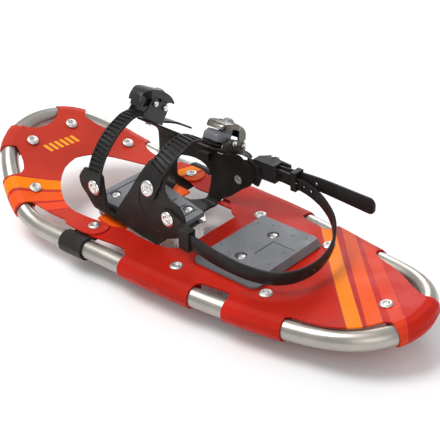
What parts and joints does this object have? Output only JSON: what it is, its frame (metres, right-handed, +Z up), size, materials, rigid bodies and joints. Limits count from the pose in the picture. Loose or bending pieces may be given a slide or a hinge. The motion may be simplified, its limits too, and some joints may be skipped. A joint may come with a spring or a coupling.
{
  "type": "snowshoe",
  "caption": "Right-hand aluminium-framed recreational snowshoe with a red and coral sheet deck, a pivoting strap binding with ratchet ladder straps, a heel strap and toe and heel crampons.",
  "frame": {"origin": "centre of the footprint on the ground plane", "axes": "+Y to the toe, +X to the wearer's right, +Z up"},
  "size_m": [0.2056, 0.5322, 0.1629],
  "materials": {
    "satin_aluminium": "satin",
    "coral_deck_sheet": "semi-gloss",
    "red_deck_sheet": "semi-gloss",
    "bright_rivet_steel": "bright",
    "black_moulded_rubber": "matte",
    "orange_strap_rubber": "satin",
    "slate_grey_plastic": "matte",
    "bright_crampon_alloy": "bright",
    "dark_lever_metal": "gloss",
    "grey_release_plastic": "satin"
  },
  "bodies": {
    "frame": {"frame_tube": "satin_aluminium", "front_deck": "coral_deck_sheet", "rear_deck": "red_deck_sheet", "deck_rivet_toe_left": "bright_rivet_steel", "deck_rivet_toe_right": "bright_rivet_steel", "deck_rivet_front_left": "bright_rivet_steel", "deck_rivet_front_right": "bright_rivet_steel", "deck_rivet_tongue_left": "bright_rivet_steel", "deck_rivet_tongue_right": "bright_rivet_steel", "deck_rivet_middle_left": "bright_rivet_steel", "deck_rivet_middle_right": "bright_rivet_steel", "deck_rivet_rear_left": "bright_rivet_steel", "deck_rivet_rear_right": "bright_rivet_steel", "deck_rivet_tail": "bright_rivet_steel", "pivot_strap_sleeve_left": "black_moulded_rubber", "pivot_strap_sleeve_right": "black_moulded_rubber", "heel_pad": "slate_grey_plastic", "heel_crampon": "bright_crampon_alloy", "heel_pad_screw_right": "bright_rivet_steel", "heel_pad_screw_left": "bright_rivet_steel"},
    "binding": {"pivot_strap_middle": "orange_strap_rubber", "toe_crampon": "bright_crampon_alloy", "toe_plate": "slate_grey_plastic", "binding_bolt_front_left": "bright_rivet_steel", "binding_bolt_front_right": "bright_rivet_steel", "binding_bolt_rear_left": "bright_rivet_steel", "binding_bolt_rear_right": "bright_rivet_steel", "harness_left": "black_moulded_rubber", "harness_right": "black_moulded_rubber", "toe_ladder_strap": "black_moulded_rubber", "toe_buckle_base": "dark_lever_metal", "toe_buckle_release_pin": "bright_rivet_steel", "toe_buckle_lever_pin": "bright_rivet_steel", "toe_buckle_rivet": "bright_rivet_steel", "instep_ladder_strap": "black_moulded_rubber", "instep_buckle_base": "dark_lever_metal", "instep_buckle_release_pin": "bright_rivet_steel", "instep_buckle_lever_pin": "bright_rivet_steel", "instep_buckle_rivet": "bright_rivet_steel", "toe_ladder_rivet": "bright_rivet_steel", "instep_ladder_rivet": "bright_rivet_steel", "strap_keeper_toe": "black_moulded_rubber", "strap_keeper_instep": "black_moulded_rubber"},
    "heel_loop": {"heel_strap": "black_moulded_rubber", "heel_bracket_left": "black_moulded_rubber", "heel_bracket_right": "black_moulded_rubber", "heel_bracket_rivet_left": "bright_rivet_steel", "heel_bracket_rivet_right": "bright_rivet_steel", "heel_buckle_body": "dark_lever_metal", "heel_buckle_pin": "bright_rivet_steel", "heel_buckle_rivet_upper": "bright_rivet_steel", "heel_buckle_rivet_lower": "bright_rivet_steel"},
    "toe_lever": {"toe_buckle_lever": "dark_lever_metal"},
    "toe_release": {"toe_buckle_release": "grey_release_plastic"},
    "instep_lever": {"instep_buckle_lever": "dark_lever_metal"},
    "instep_release": {"instep_buckle_release": "grey_release_plastic"},
    "heel_lever": {"heel_buckle_lever": "dark_lever_metal"},
    "heel_keeper": {"heel_strap_keeper": "black_moulded_rubber"}
  },
  "joints": [
    {"name": "binding_pivot", "type": "hinge", "parent": "frame", "child": "binding", "pos_m": [0, 0.0819, 0.0326], "axis": [1, 0, 0], "range_deg": [-40, 0], "stiffness_Nm_per_rad": 3},
    {"name": "toe_buckle_lever_hinge", "type": "hinge", "parent": "binding", "child": "toe_lever", "pos_m": [0.03746, 0.0909, 0.13112], "axis": [0, 1, 0], "range_deg": [0, 65], "stiffness_Nm_per_rad": 0.03},
    {"name": "toe_buckle_release_hinge", "type": "hinge", "parent": "binding", "child": "toe_release", "pos_m": [0.02524, 0.0909, 0.14033], "axis": [0, 1, 0], "range_deg": [0, 5], "stiffness_Nm_per_rad": 0.03},
    {"name": "instep_buckle_lever_hinge", "type": "hinge", "parent": "binding", "child": "instep_lever", "pos_m": [0.05081, -0.0011, 0.11084], "axis": [0, 1, 0], "range_deg": [0, 65], "stiffness_Nm_per_rad": 0.03},
    {"name": "instep_buckle_release_hinge", "type": "hinge", "parent": "binding", "child": "instep_release", "pos_m": [0.03756, -0.0011, 0.11849], "axis": [0, 1, 0], "range_deg": [0, 5], "stiffness_Nm_per_rad": 0.03},
    {"name": "heel_strap_swing", "type": "hinge", "parent": "binding", "child": "heel_loop", "pos_m": [0, -0.0106, 0.073], "axis": [1, 0, 0], "range_deg": [-20, 0]},
    {"name": "heel_buckle_lever_hinge", "type": "hinge", "parent": "heel_loop", "child": "heel_lever", "pos_m": [0.0686, -0.0391, 0.0885], "axis": [0, 0, 1], "range_deg": [0, 60]},
    {"name": "heel_keeper_slide", "type": "slide", "parent": "heel_loop", "child": "heel_keeper", "axis": [0, 1, 0], "range_m": [0, 0.008]}
  ]
}
